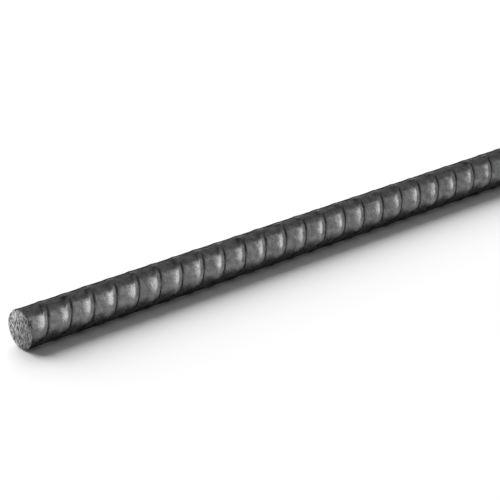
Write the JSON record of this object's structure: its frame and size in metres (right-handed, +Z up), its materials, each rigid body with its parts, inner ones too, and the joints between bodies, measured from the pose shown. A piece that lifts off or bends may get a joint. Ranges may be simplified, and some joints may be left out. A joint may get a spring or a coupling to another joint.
{
  "type": "reinforcing bar",
  "caption": "Straight deformed steel reinforcing bar with a round barrel, low lengthwise ribs and square-cut ends, used to reinforce concrete.",
  "frame": {"origin": "on the bar's axis at mid-length", "axes": "+X along the bar, +Z up with the bar lying on the floor on its barrel, its lower lengthwise rib just off the floor on the -Y side"},
  "size_m": [0.6096, 0.0122, 0.0122],
  "materials": {
    "steel": "hot-rolled, dark grey mill scale, with bare sawn ends"
  },
  "bodies": {
    "root": {"reinforcing_bar": "steel"}
  },
  "joints": []
}
